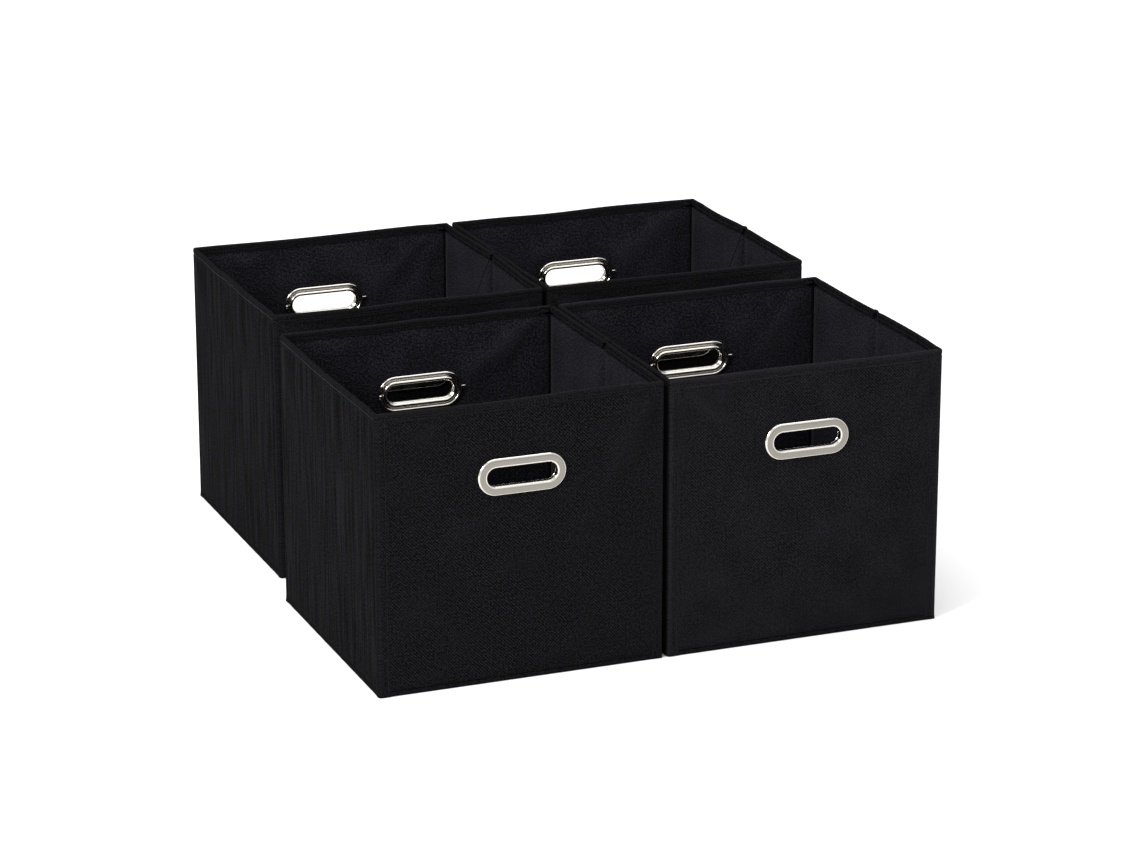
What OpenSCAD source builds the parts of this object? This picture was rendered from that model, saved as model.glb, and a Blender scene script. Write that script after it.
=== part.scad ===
// A set of four foldable fabric storage cubes, standing two by two.
// Each cube is seven rigid pieces of fabric-covered board that turn about their sewn folds:
// a front wall, a back wall, two halves of each side wall, and a lift-out floor.
// X runs across the front, Y from front to back and Z up. The floor is Z = 0.

/* [Cube] */
// Width of one cube across its outside
cube_w = 310; // [240:1:400]
// Depth of one cube over its front and back walls
cube_d = 310; // [240:1:400]
// Height of one cube from the floor to its rim
cube_h = 300; // [220:1:400]

/* [Walls] */
// Thickness of a finished wall: cover, board and lining together
wall_t = 3; // [2.4:0.1:5]
// Thickness of one layer of fabric
fabric_t = 0.5; // [0.3:0.05:0.8]
// From a wall's sewn edge to the board inside it
seam_allowance = 8; // [4:0.5:14]

/* [Rim binding] */
// Height of the tape folded over the rim
binding_h = 10; // [6:0.5:16]
// Thickness of the tape
binding_t = 0.4; // [0.2:0.05:0.6]

/* [Base] */
// Height of the sewn welt round the foot of the cube
welt_h = 5.5; // [4.5:0.1:9]
// Thickness of the fabric that closes the bottom
bottom_t = 1; // [0.5:0.1:1.5]
// Play left of and right of the lift-out floor
floor_play = 2; // [1:0.5:6]

/* [Grip ring] */
// Length of a grip ring over its outside
ring_len = 96; // [70:1:130]
// Height of a grip ring over its outside
ring_h = 40; // [32:1:56]
// Width of the ring's metal band
ring_band = 10; // [6:0.5:12]
// From the rim down to the middle of the ring
ring_drop = 80; // [60:1:110]
// How far the outer flange stands off the wall
outer_flange_t = 2.6; // [1.6:0.1:4]
// How far the inner flange stands off the lining
inner_flange_t = 4.2; // [3:0.1:5]
// Wall of the collar that passes through the board
collar_t = 1.2; // [0.8:0.1:2]

/* [Set] */
// Space between two cubes side by side
side_gap = 6; // [2:1:60]
// Space between the front row and the back row
row_gap = 69; // [10:1:120]
// How far the back row stands to the right of the front row
row_shift = 16; // [0:1:60]

/* [Hidden] */
CUBES = ["cube1", "cube2", "cube3", "cube4"];
PIECES = [
    "front_cover", "front_board", "front_ring_outer", "front_ring_inner",
    "back_cover", "back_board", "back_ring_outer", "back_ring_inner",
    "left_fore_panel", "left_aft_panel", "right_fore_panel", "right_aft_panel",
    "floor_cover", "floor_board", "bottom_tray"
];
NODES = [for (cube_name = CUBES, piece = PIECES) str(cube_name, "_", piece)];
node = "all";

// Round faces are true circles at this setting
$fn = 96;

// Running clearances
fold_gap = 0.5;     // between a side wall's end and the wall it is sewn to
crease_gap = 0.6;   // between the two halves of a side wall
tray_gap = 0.4;     // between the walls and the welt below them, and under the lift-out floor
sewn_play = 0.05;   // between pieces that are sewn or slipped together
hole_play = 0.4;    // between a ring's collar and the hole it passes through
ring_clear = 1;     // between the lift-out floor and the inner rings as it comes up past them
cut_over = 1;       // how far a cutter runs past the face it opens

// Heights
wall_z = welt_h + tray_gap;
wall_h = cube_h - wall_z;
board_z = wall_z + seam_allowance;
board_h = cube_h - binding_h - seam_allowance / 2 - board_z;
ring_z = cube_h - ring_drop;
floor_z = bottom_t + tray_gap;
floor_t = welt_h - tray_gap - floor_z;

// Plan of a side wall: its two halves meet at the middle of the cube's depth
side_len = cube_d / 2 - wall_t - fold_gap - crease_gap / 2;
side_y = crease_gap / 2;

// Plan of the lift-out floor: it clears the inner rings as it lifts
floor_w = cube_w - 2 * (wall_t + floor_play);
floor_d = cube_d - 2 * (wall_t + inner_flange_t + ring_clear);
floor_fabric = min(fabric_t, floor_t / 4);

// Grip ring
ring_straight = ring_len - ring_h;
ring_r = ring_h / 2;
ring_hole_r = ring_r - ring_band;
collar_r = ring_hole_r + collar_t;
wall_hole_r = collar_r + hole_play;
collar_end = 1.5;   // how far the collar reaches past the lining
edge_round = 1.6;   // bevel round the outside of the outer flange
lip_bevel = 1.2;    // bevel at the mouth of the ring
knob_r = 3.2;       // rivet head at one end of the inner flange
tab_l = 7;          // locking tab at its other end
tab_w = 6.4;

COVER_COLOUR = [0.11, 0.11, 0.115];
LINING_COLOUR = [0.10, 0.10, 0.125];
BOARD_COLOUR = [0.55, 0.47, 0.36];
OUTER_RING_COLOUR = [0.78, 0.76, 0.72];
INNER_RING_COLOUR = [0.90, 0.89, 0.87];

// ---- places of the four cubes ----

function column(i) = i % 2;
function row(i) = floor(i / 2);
function cube_x(i) = (column(i) - 0.5) * (cube_w + side_gap) + (row(i) - 0.5) * row_shift;
function cube_y(i) = (row(i) - 0.5) * (cube_d + row_gap);

// ---- shapes that repeat ----

// A stadium-shaped hole along Y, centred on the grip
module grip_cut(radius, depth) {
    translate([0, 0, ring_z])
        rotate([90, 0, 0])
            linear_extrude(height = depth, center = true) {
                square([ring_straight, 2 * radius], center = true);
                for (end = [-1, 1])
                    translate([end * ring_straight / 2, 0])
                        circle(r = radius);
            }
}

// A flat wall centred on X, its outer face at Y = 0 and its lining at Y = wall_t
module sleeve(length, gripped = false) {
    difference() {
        union() {
            translate([-length / 2, 0, wall_z])
                cube([length, wall_t, wall_h - binding_h - sewn_play]);
            translate([-length / 2, binding_t + sewn_play, wall_z])
                cube([length, wall_t - 2 * (binding_t + sewn_play), wall_h - binding_t - sewn_play]);
        }
        translate([-length / 2 + seam_allowance, fabric_t, board_z])
            cube([length - 2 * seam_allowance, wall_t - 2 * fabric_t, board_h]);
        if (gripped)
            grip_cut(wall_hole_r, 4 * wall_t);
    }
}

// The stiff board inside that wall
module stiffener(length, gripped = false) {
    difference() {
        translate([-length / 2 + seam_allowance + sewn_play, fabric_t + sewn_play, board_z + sewn_play])
            cube([
                length - 2 * (seam_allowance + sewn_play),
                wall_t - 2 * (fabric_t + sewn_play),
                board_h - 2 * sewn_play
            ]);
        if (gripped)
            grip_cut(wall_hole_r, 4 * wall_t);
    }
}

// The tape folded over that wall's rim
module binding(length) {
    translate([-length / 2, 0, cube_h - binding_h])
        difference() {
            cube([length, wall_t, binding_h]);
            translate([-cut_over, binding_t, -cut_over])
                cube([length + 2 * cut_over, wall_t - 2 * binding_t, binding_h - binding_t + cut_over]);
        }
}

// Sweeps a half section (distance from the middle line, height) round the ring's outline
module ring_sweep() {
    for (turn = [0, 180])
        rotate([0, 0, turn]) {
            translate([ring_straight / 2, 0, 0])
                rotate([0, 0, -90])
                    rotate_extrude(angle = 180)
                        children();
            rotate([90, 0, 90])
                linear_extrude(height = ring_straight, center = true)
                    children();
        }
}

// Outer half of a grip: a flat flange with bevelled edges, and the collar behind it
module ring_outer() {
    ring_sweep()
        polygon([
            [ring_hole_r, -wall_t - collar_end],
            [collar_r, -wall_t - collar_end],
            [collar_r, sewn_play],
            [ring_r, sewn_play],
            [ring_r, outer_flange_t - edge_round],
            [ring_r - edge_round, outer_flange_t],
            [ring_hole_r + lip_bevel, outer_flange_t],
            [ring_hole_r, outer_flange_t - lip_bevel]
        ]);
}

// Inner half of a grip: a domed flange whose lip closes over the collar
module ring_inner() {
    step_h = collar_end + sewn_play;
    crown = inner_flange_t;
    ring_sweep()
        polygon([
            [collar_r + sewn_play, sewn_play],
            [ring_r, sewn_play],
            [ring_r, crown * 0.45],
            [ring_r - ring_band * 0.22, crown * 0.85],
            [ring_r - ring_band * 0.5, crown],
            [ring_hole_r + lip_bevel, crown],
            [ring_hole_r, crown - lip_bevel],
            [ring_hole_r, step_h],
            [collar_r + sewn_play, step_h]
        ]);
    translate([-ring_len / 2, 0, sewn_play])
        cylinder(r = knob_r, h = crown * 0.55 - sewn_play);
    translate([ring_len / 2 - ring_band * 0.3, -tab_w / 2, sewn_play]) {
        cube([tab_l, tab_w, crown * 0.5 - sewn_play]);
        translate([tab_l, tab_w / 2, 0])
            cylinder(r = tab_w / 2, h = crown * 0.5 - sewn_play);
    }
}

// ---- places of the walls of one cube ----

module at_front() {
    translate([0, -cube_d / 2, 0])
        children();
}

module at_back() {
    translate([0, cube_d / 2, 0])
        rotate([0, 0, 180])
            children();
}

// side is -1 for left and 1 for right; half is -1 for fore and 1 for aft
module at_side(side, half) {
    translate([side * cube_w / 2, half * (side_y + side_len / 2), 0])
        rotate([0, 0, side * 90])
            children();
}

// Turns a ring's height outward from the wall's outer face, or inward from its lining
module on_outer_face() {
    translate([0, 0, ring_z])
        rotate([90, 0, 0])
            children();
}

module on_lining() {
    translate([0, wall_t, ring_z])
        rotate([90, 0, 180])
            children();
}

// ---- the pieces of one cube ----

module wall_cover() {
    color(COVER_COLOUR) {
        sleeve(cube_w, gripped = true);
        binding(cube_w);
    }
}

module wall_board() {
    color(BOARD_COLOUR)
        stiffener(cube_w, gripped = true);
}

module wall_ring_outer() {
    color(OUTER_RING_COLOUR)
        on_outer_face()
            ring_outer();
}

// The knob lies to the left of someone who looks at the lining
module wall_ring_inner() {
    color(INNER_RING_COLOUR)
        on_lining()
            ring_inner();
}

module side_panel() {
    color(COVER_COLOUR) {
        sleeve(side_len);
        stiffener(side_len);
        binding(side_len);
    }
}

module floor_cover() {
    color(LINING_COLOUR)
        translate([-floor_w / 2, -floor_d / 2, floor_z])
            difference() {
                cube([floor_w, floor_d, floor_t]);
                translate([seam_allowance, seam_allowance, floor_fabric])
                    cube([
                        floor_w - 2 * seam_allowance,
                        floor_d - 2 * seam_allowance,
                        floor_t - 2 * floor_fabric
                    ]);
            }
}

module floor_board() {
    inset = seam_allowance + sewn_play;
    color(BOARD_COLOUR)
        translate([-floor_w / 2 + inset, -floor_d / 2 + inset, floor_z + floor_fabric + sewn_play])
            cube([
                floor_w - 2 * inset,
                floor_d - 2 * inset,
                floor_t - 2 * (floor_fabric + sewn_play)
            ]);
}

module bottom_tray() {
    color(COVER_COLOUR)
        difference() {
            translate([-cube_w / 2, -cube_d / 2, 0])
                cube([cube_w, cube_d, welt_h]);
            translate([-cube_w / 2 + wall_t, -cube_d / 2 + wall_t, bottom_t])
                cube([cube_w - 2 * wall_t, cube_d - 2 * wall_t, welt_h]);
        }
}

function shown(i, piece) = node == "all" || node == str(CUBES[i], "_", piece);

for (i = [0 : len(CUBES) - 1])
    translate([cube_x(i), cube_y(i), 0]) {
        if (shown(i, "front_cover")) at_front() wall_cover();
        if (shown(i, "front_board")) at_front() wall_board();
        if (shown(i, "front_ring_outer")) at_front() wall_ring_outer();
        if (shown(i, "front_ring_inner")) at_front() wall_ring_inner();
        if (shown(i, "back_cover")) at_back() wall_cover();
        if (shown(i, "back_board")) at_back() wall_board();
        if (shown(i, "back_ring_outer")) at_back() wall_ring_outer();
        if (shown(i, "back_ring_inner")) at_back() wall_ring_inner();
        if (shown(i, "left_fore_panel")) at_side(-1, -1) side_panel();
        if (shown(i, "left_aft_panel")) at_side(-1, 1) side_panel();
        if (shown(i, "right_fore_panel")) at_side(1, -1) side_panel();
        if (shown(i, "right_aft_panel")) at_side(1, 1) side_panel();
        if (shown(i, "floor_cover")) floor_cover();
        if (shown(i, "floor_board")) floor_board();
        if (shown(i, "bottom_tray")) bottom_tray();
    }
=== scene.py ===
# %% [markdown]
# # Four folding fabric storage cubes
# The set stands two by two. Each cube is seven boards sleeved in black non-woven cloth, hinged by
# their own sewn folds, with a metal grip ring through the front wall and another through the back.
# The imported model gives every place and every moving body, so this lesson only makes the looks:
# cloth skins, linings, rim tape, corner seams, stitches, rings, boards and the lift-out floor.

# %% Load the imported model
import math
import random

import bmesh
import bpy
import numpy as np
from mathutils import Matrix, Vector


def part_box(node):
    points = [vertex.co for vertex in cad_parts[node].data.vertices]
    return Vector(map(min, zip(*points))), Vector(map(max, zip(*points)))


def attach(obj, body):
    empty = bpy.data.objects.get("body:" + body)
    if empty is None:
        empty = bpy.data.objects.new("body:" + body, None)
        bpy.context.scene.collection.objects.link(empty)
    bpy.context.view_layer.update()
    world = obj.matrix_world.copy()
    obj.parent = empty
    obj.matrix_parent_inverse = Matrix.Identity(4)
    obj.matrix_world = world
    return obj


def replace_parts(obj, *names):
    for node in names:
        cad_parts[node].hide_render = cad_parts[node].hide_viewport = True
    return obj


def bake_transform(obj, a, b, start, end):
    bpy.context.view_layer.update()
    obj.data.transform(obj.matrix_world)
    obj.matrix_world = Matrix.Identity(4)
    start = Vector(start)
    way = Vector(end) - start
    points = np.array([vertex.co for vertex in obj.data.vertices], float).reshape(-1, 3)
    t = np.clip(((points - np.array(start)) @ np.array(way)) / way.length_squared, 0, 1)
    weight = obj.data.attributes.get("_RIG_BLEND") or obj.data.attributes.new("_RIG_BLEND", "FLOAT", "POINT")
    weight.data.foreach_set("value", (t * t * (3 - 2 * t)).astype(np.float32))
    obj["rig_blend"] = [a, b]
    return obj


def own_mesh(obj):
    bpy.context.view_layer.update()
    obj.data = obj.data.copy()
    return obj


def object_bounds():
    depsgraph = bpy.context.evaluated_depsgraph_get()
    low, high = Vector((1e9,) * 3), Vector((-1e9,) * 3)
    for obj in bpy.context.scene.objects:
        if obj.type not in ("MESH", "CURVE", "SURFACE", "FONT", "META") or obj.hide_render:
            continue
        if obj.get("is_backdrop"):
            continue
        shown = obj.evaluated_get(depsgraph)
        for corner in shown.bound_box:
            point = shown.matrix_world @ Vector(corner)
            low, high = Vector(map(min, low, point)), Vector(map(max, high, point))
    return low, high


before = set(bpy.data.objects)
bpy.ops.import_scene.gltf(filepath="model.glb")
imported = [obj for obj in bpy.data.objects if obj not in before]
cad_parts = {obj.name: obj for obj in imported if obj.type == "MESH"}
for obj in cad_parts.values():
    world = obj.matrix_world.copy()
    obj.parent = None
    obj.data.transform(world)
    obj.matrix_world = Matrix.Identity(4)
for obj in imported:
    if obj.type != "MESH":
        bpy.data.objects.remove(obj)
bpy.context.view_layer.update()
MM = 0.001
CUBES = ["cube1", "cube2", "cube3", "cube4"]

# %% [markdown]
# ## Camera
# A set like this is shown from above one corner through a long lens, so the rims stay almost
# parallel. The camera stands 4.2 metres off with a 120 mm lens, turned 22 degrees to the right and
# tipped 17.5 degrees down. A long lens from far off keeps the four cubes the same size.

# %% Camera
camera = bpy.data.objects.new("Camera", bpy.data.cameras.new("Camera"))
bpy.context.scene.collection.objects.link(camera)
camera.location = (-1.467, -3.734, 1.415)
camera.rotation_euler = (math.radians(90 - 17.52), 0, math.radians(-21.76))
camera.data.sensor_width = 36
camera.data.lens = 119.95
camera.data.clip_end = 100
bpy.context.scene.camera = camera
print("camera", [round(x, 3) for x in camera.location], "lens", camera.data.lens)

# %% [markdown]
# ## Node helper
# A material is a small graph. This helper adds a node, sets its plain values and makes its links in
# one line, so that the recipes below read as lists of ingredients.

# %% Node helper
def add_node(tree, kind, links=(), **values):
    """Adds a node; values are sockets or settings, links are (from socket, to socket name)."""
    node = tree.nodes.new("ShaderNode" + kind)
    for key, value in values.items():
        if hasattr(node, key):
            setattr(node, key, value)
        else:
            node.inputs[key.replace("_", " ")].default_value = value
    for source, target in links:
        tree.links.new(source, node.inputs[target])
    return node


def new_material(name, **values):
    """A Principled material with these plain values: returns it, its tree and its shader."""
    made = bpy.data.materials.new(name)
    made.use_nodes = True
    shader = made.node_tree.nodes["Principled BSDF"]
    for key, value in values.items():
        shader.inputs[key.replace("_", " ")].default_value = value
    return made, made.node_tree, shader


def ramp(tree, source, low, high, bottom=0.0, top=1.0):
    """Stretches the part of a value from low to high over bottom to top."""
    return add_node(tree, "MapRange", [(source, "Value")], From_Min=low, From_Max=high,
                    To_Min=bottom, To_Max=top).outputs["Result"]

# %% [markdown]
# ## Cloth
# The cubes are sewn from spun-bonded polypropylene, a black felt of fine threads that is pressed
# together by a roller with a diagonal grid of tiny dots. Three scales make it read as cloth: the
# pressed grid, 2.5 mm apart, the loose fibres between the dots, which run up the bolt, and the
# slow clouding where the felt is thicker. Each piece carries a map in metres, so that the grid
# follows the surface and keeps its size when a wall folds. A value kept on the points lightens
# the felt in two ways: on the edges that hands rub, which is wear, and on the ridges of the drag
# lines, which is a painted highlight that stands in for the shading of the folds.

# %% Cloth material
GRID_PITCH = 2.5 * MM
WAVE_METRE = 2 * math.pi / 20     # the Scale at which a band texture repeats every metre


def cloth(name, dark, light, hatch=1.0, streak=0.5, cloud=0.5, grain=1.0, wear_and_ridge_light=0.1, rough=0.82,
          sheen=0.02, shine=0.015):
    made, tree, shader = new_material(name, Roughness=rough, Specular_IOR_Level=shine,
                                      Sheen_Weight=sheen, Sheen_Roughness=0.45,
                                      Sheen_Tint=(0.75, 0.75, 0.8, 1))
    place = add_node(tree, "UVMap", uv_map="Cloth").outputs["UV"]
    turned = add_node(tree, "Mapping", [(place, "Vector")],
                      Rotation=(0, 0, math.radians(45))).outputs["Vector"]
    rows = [add_node(tree, "TexWave", [(turned, "Vector")], wave_type="BANDS",
                     bands_direction=way, Scale=WAVE_METRE / GRID_PITCH, Distortion=0.8, Detail=1.0,
                     Detail_Scale=1.5).outputs["Fac"] for way in "XY"]
    dots = add_node(tree, "Math", [(rows[0], 0), (rows[1], 1)], operation="MULTIPLY").outputs[0]
    lines = add_node(tree, "Math", [(rows[0], 0), (rows[1], 1)], operation="MAXIMUM").outputs[0]
    along = add_node(tree, "Mapping", [(place, "Vector")], Scale=(1, 0.035, 1)).outputs["Vector"]
    threads = add_node(tree, "TexNoise", [(along, "Vector")], Scale=260, Detail=3).outputs["Fac"]
    felt = add_node(tree, "TexNoise", [(place, "Vector")], Scale=480, Detail=2).outputs["Fac"]
    clouds = add_node(tree, "TexNoise", [(place, "Vector")], Scale=22, Detail=4,
                      Roughness=0.6).outputs["Fac"]
    tones = [ramp(tree, clouds, 0.35, 0.68, 0, 0.4 * cloud),
             ramp(tree, lines, 0.45, 1.0, -0.5 * hatch, 1.1 * hatch),
             ramp(tree, threads, 0.35, 0.65, -0.3 * streak, 0.6 * streak),
             ramp(tree, felt, 0.34, 0.66, 0.12 - 0.97 * grain, 0.12 + 0.98 * grain)]
    tone = tones[0]
    for other in tones[1:]:
        tone = add_node(tree, "Math", [(tone, 0), (other, 1)], operation="ADD").outputs[0]
    tone = ramp(tree, tone, 0, 3, 0, 3)
    mixed = add_node(tree, "Mix", data_type="RGBA", clamp_factor=False)
    mixed.inputs[6].default_value, mixed.inputs[7].default_value = (*dark, 1), (*light, 1)
    tree.links.new(tone, mixed.inputs[0])
    # The point value read here lightens the colour: wear on rubbed edges, and a painted highlight on the
    # ridges of the drag lines.
    wear_and_ridge_fac = add_node(tree, "Attribute", attribute_name="wear_and_ridge_light").outputs["Fac"]
    patches = ramp(tree, felt, 0.3, 0.65, 0.3, 1.0)
    lighten_by = add_node(tree, "Math", [(wear_and_ridge_fac, 0), (patches, 1)], operation="MULTIPLY").outputs[0]
    worn_and_ridge_lit = add_node(tree, "Mix", data_type="RGBA")
    worn_and_ridge_lit.inputs[7].default_value = (*[min(1, c * (1 + 3 * wear_and_ridge_light)) for c in light], 1)
    tree.links.new(mixed.outputs[2], worn_and_ridge_lit.inputs[6])
    tree.links.new(lighten_by, worn_and_ridge_lit.inputs[0])
    tree.links.new(worn_and_ridge_lit.outputs[2], shader.inputs["Base Color"])
    height = add_node(tree, "Math", [(ramp(tree, dots, 0, 1, 0, 0.9 * hatch), 0),
                                     (ramp(tree, felt, 0, 1, 0, 0.6), 1)], operation="ADD").outputs[0]
    height = add_node(tree, "Math", [(height, 0), (ramp(tree, threads, 0, 1, 0, 0.5 * streak), 1)],
                      operation="ADD").outputs[0]
    bump = add_node(tree, "Bump", [(height, "Height")], Strength=0.6, Distance=0.0003)
    tree.links.new(bump.outputs["Normal"], shader.inputs["Normal"])
    return made


FRONT_FELT = {
    "cube1": cloth("cover_black_felt", (0.0005, 0.0005, 0.0006), (0.0057, 0.0057, 0.0064),
                   streak=0.1, hatch=1.2, cloud=0.7, grain=1.1),
    "cube2": cloth("cover_black_felt_smooth", (0.0014, 0.0014, 0.0017), (0.0092, 0.0091, 0.0109),
                   hatch=0.7, streak=0.1, cloud=0.9, grain=0.6),
}
FRONT_FELT["cube3"] = FRONT_FELT["cube4"] = FRONT_FELT["cube1"]
# The side walls take the same felt with stronger upright streaks; its tone is set darker than the front
# felt's to offset the strong light from the left, which is painted shade.
SIDE_FELT_PAINTED_SHADE = cloth("cover_black_felt_side_painted_shade", (0.0006, 0.0006, 0.0007), (0.0046, 0.0046, 0.0051), hatch=0.9,
                  streak=2.2, grain=1.1, sheen=0.004, shine=0.004)
LINING = cloth("lining_violet_black_felt", (0.0034, 0.0033, 0.0043), (0.0158, 0.0151, 0.0197),
               hatch=0.3, streak=0.12, cloud=1.0, grain=0.8, rough=0.86)
print("cloth materials", len(bpy.data.materials))

# %% [markdown]
# ## Thread, board and metal
# Black polyester thread is a little glossier than the felt. The walls are stiffened with grey
# chipboard, which shows only at cut edges. The grip rings are pressed steel plated with nickel: the
# flat face is brushed to a satin, and the bevels and the inner ring are left bright. The satin face
# also takes a far darker colour than the bright nickel, a painted shade that sets the bevels off.

# %% Thread, board and metal materials
THREAD, tree, shader = new_material("sewing_thread", Roughness=0.55, Specular_IOR_Level=0.08)
strand = add_node(tree, "TexWave", [(add_node(tree, "TexCoord").outputs["Object"], "Vector")],
                  wave_type="BANDS", bands_direction="DIAGONAL", Scale=420)
mixed = add_node(tree, "Mix", [(strand.outputs["Fac"], 0)], data_type="RGBA")
mixed.inputs[6].default_value = (0.002, 0.002, 0.002, 1)
mixed.inputs[7].default_value = (0.006, 0.006, 0.0065, 1)
tree.links.new(mixed.outputs[2], shader.inputs["Base Color"])
bump = add_node(tree, "Bump", [(strand.outputs["Fac"], "Height")], Strength=0.5, Distance=0.0001)
tree.links.new(bump.outputs["Normal"], shader.inputs["Normal"])

CHIPBOARD, tree, shader = new_material("grey_chipboard", Roughness=0.9, Specular_IOR_Level=0.3)
place = add_node(tree, "TexCoord").outputs["Object"]
pulp = add_node(tree, "TexNoise", [(place, "Vector")], Scale=700, Detail=4).outputs["Fac"]
flakes = add_node(tree, "TexVoronoi", [(place, "Vector")], Scale=260).outputs["Distance"]
tone = add_node(tree, "Math", [(pulp, 0), (ramp(tree, flakes, 0, 0.8, 0, 0.4), 1)],
                operation="ADD").outputs[0]
mixed = add_node(tree, "Mix", [(ramp(tree, tone, 0.3, 1.0), 0)], data_type="RGBA")
mixed.inputs[6].default_value = (0.22, 0.18, 0.13, 1)
mixed.inputs[7].default_value = (0.45, 0.38, 0.29, 1)
tree.links.new(mixed.outputs[2], shader.inputs["Base Color"])
bump = add_node(tree, "Bump", [(tone, "Height")], Strength=0.4, Distance=0.0002)
tree.links.new(bump.outputs["Normal"], shader.inputs["Normal"])


def nickel(name, colour, rough, grain, stretch):
    """Plated steel: fine scratches stretched along the ring, and a slow change in its polish."""
    made, tree, shader = new_material(name, Base_Color=(*colour, 1), Metallic=1.0)
    place = add_node(tree, "TexCoord").outputs["Object"]
    brushed = add_node(tree, "Mapping", [(place, "Vector")], Scale=(stretch, 1, 1)).outputs["Vector"]
    lines = add_node(tree, "TexNoise", [(brushed, "Vector")], Scale=2600, Detail=3).outputs["Fac"]
    smears = add_node(tree, "TexNoise", [(place, "Vector")], Scale=70, Detail=3).outputs["Fac"]
    both = add_node(tree, "Math", [(ramp(tree, lines, 0.3, 0.7, rough * 0.8, rough * 1.15), 0),
                                   (ramp(tree, smears, 0.35, 0.7, -0.03, 0.05), 1)],
                    operation="ADD", use_clamp=True).outputs[0]
    tree.links.new(both, shader.inputs["Roughness"])
    bump = add_node(tree, "Bump", [(lines, "Height")], Strength=grain, Distance=0.00003)
    tree.links.new(bump.outputs["Normal"], shader.inputs["Normal"])
    return made


# Painted shade: the satin face takes a nickel colour far darker than the bright nickel's, so that the bevels
# stand out; its brushing and roughness are the real finish.
SATIN_PAINTED_SHADE = nickel("satin_nickel_painted_shade", (0.245, 0.232, 0.207), 0.30, 0.35, 0.05)
BRIGHT = nickel("bright_nickel", (0.66, 0.63, 0.575), 0.14, 0.05, 0.3)
print("materials", len(bpy.data.materials))

# %% [markdown]
# ## From a bmesh to a piece
# Every piece is shaped as a bmesh and then becomes an object at the origin, with its place in its
# mesh. The cloth map is laid here: each face takes its two lengths, in metres, from the two axes
# that it lies along.

# %% Finish a piece
def lay_map(bm):
    """Writes the cloth map, in metres, from the axes that each face lies along."""
    layer = bm.loops.layers.uv.get("Cloth") or bm.loops.layers.uv.new("Cloth")
    for face in bm.faces:
        n = [abs(x) for x in face.normal]
        across, up = ((1, 2), (0, 2), (0, 1))[n.index(max(n))]
        for loop in face.loops:
            loop[layer].uv = (loop.vert.co[across], loop.vert.co[up])


def make_piece(bm, name, materials, place=None, thick=0.0):
    """Turns bm into an object called name. place moves the mesh from its working axes to the set."""
    bm.normal_update()
    lay_map(bm)
    if place is not None:
        bmesh.ops.transform(bm, matrix=place, verts=bm.verts)
        if place.determinant() < 0:
            bmesh.ops.reverse_faces(bm, faces=bm.faces)
    mesh = bpy.data.meshes.new(name)
    bm.to_mesh(mesh)
    bm.free()
    mesh.shade_smooth()
    for material in materials:
        mesh.materials.append(material)
    piece = bpy.data.objects.new(name, mesh)
    bpy.context.scene.collection.objects.link(piece)
    if thick:
        wall = piece.modifiers.new("Thickness", "SOLIDIFY")
        wall.thickness, wall.offset, wall.use_even_offset = thick, -1, True
    return piece


def turn_out(bm, core):
    """Makes every face look away from its nearest point of the core."""
    bmesh.ops.recalc_face_normals(bm, faces=bm.faces)
    bm.normal_update()
    away = sum(f.normal.dot(f.calc_center_median() - core(f.calc_center_median())) for f in bm.faces)
    if away < 0:
        bmesh.ops.reverse_faces(bm, faces=bm.faces)
    bm.normal_update()


def sweep(bm, geometry, step, count):
    """Draws an open profile along step, count times, and returns its last copy."""
    return bmesh.ops.spin(bm, geom=geometry, cent=(0, 0, 0), axis=(0, 0, 1), dvec=step, angle=0,
                          steps=count)["geom_last"]


def profile(bm, points, wear_and_ridge_light=None):
    """An open chain of points, and the wear of each one."""
    layer = bm.verts.layers.float.get("wear_and_ridge_light") or bm.verts.layers.float.new("wear_and_ridge_light")
    verts = [bm.verts.new(p) for p in points]
    for k, v in enumerate(verts):
        v[layer] = wear_and_ridge_light[k] if wear_and_ridge_light else 0.0
    edges = [bm.edges.new(pair) for pair in zip(verts, verts[1:])]
    return verts + edges

# %% [markdown]
# ## Measures
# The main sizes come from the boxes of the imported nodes. A wall is worked flat, in its own axes: s along
# the wall as seen from outside, t up, and d outward from its outer face. One matrix then stands it
# in the set, so the same code makes all sixteen walls.

# %% Measures
low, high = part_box("cube1_front_cover")
WIDTH, WALL, RIM, WALL_FOOT = high.x - low.x, high.y - low.y, high.z, low.z
front_y, back_y = low.y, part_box("cube1_back_cover")[1].y
DEPTH = back_y - front_y
low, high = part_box("cube1_front_ring_outer")
GRIP_Z, RING_END, RING_R = (low.z + high.z) / 2, (high.x - low.x) / 2, (high.z - low.z) / 2
RING_STRAIGHT = 2 * (RING_END - RING_R)
CREASE = 3 * MM
FELT = 0.45 * MM         # thickness of a skin
TAPE = 0.35 * MM         # thickness of the folded rim tape
SKIN_CELL = 4.4 * MM     # a skin's grid
print("cube", round(WIDTH, 4), round(DEPTH, 4), round(RIM, 4), "wall", round(WALL, 4),
      "grip", round(GRIP_Z, 4))


def centre(cube):
    low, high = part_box(f"{cube}_front_cover")
    return Vector(((low.x + high.x) / 2, low.y + DEPTH / 2, 0))


WALLS = {"front": ((1, 0), WIDTH), "back": ((-1, 0), WIDTH),
         "left": ((0, -1), DEPTH), "right": ((0, 1), DEPTH)}


def wall_place(cube, wall):
    """The matrix from a wall's own axes (s, t, d) to the set."""
    (ux, uy), _ = WALLS[wall]
    along, up = Vector((ux, uy, 0)), Vector((0, 0, 1))
    out = along.cross(up)
    origin = centre(cube) + out * (DEPTH if wall in ("front", "back") else WIDTH) / 2
    return Matrix.Translation(origin) @ Matrix((along, up, out)).transposed().to_4x4()

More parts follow.
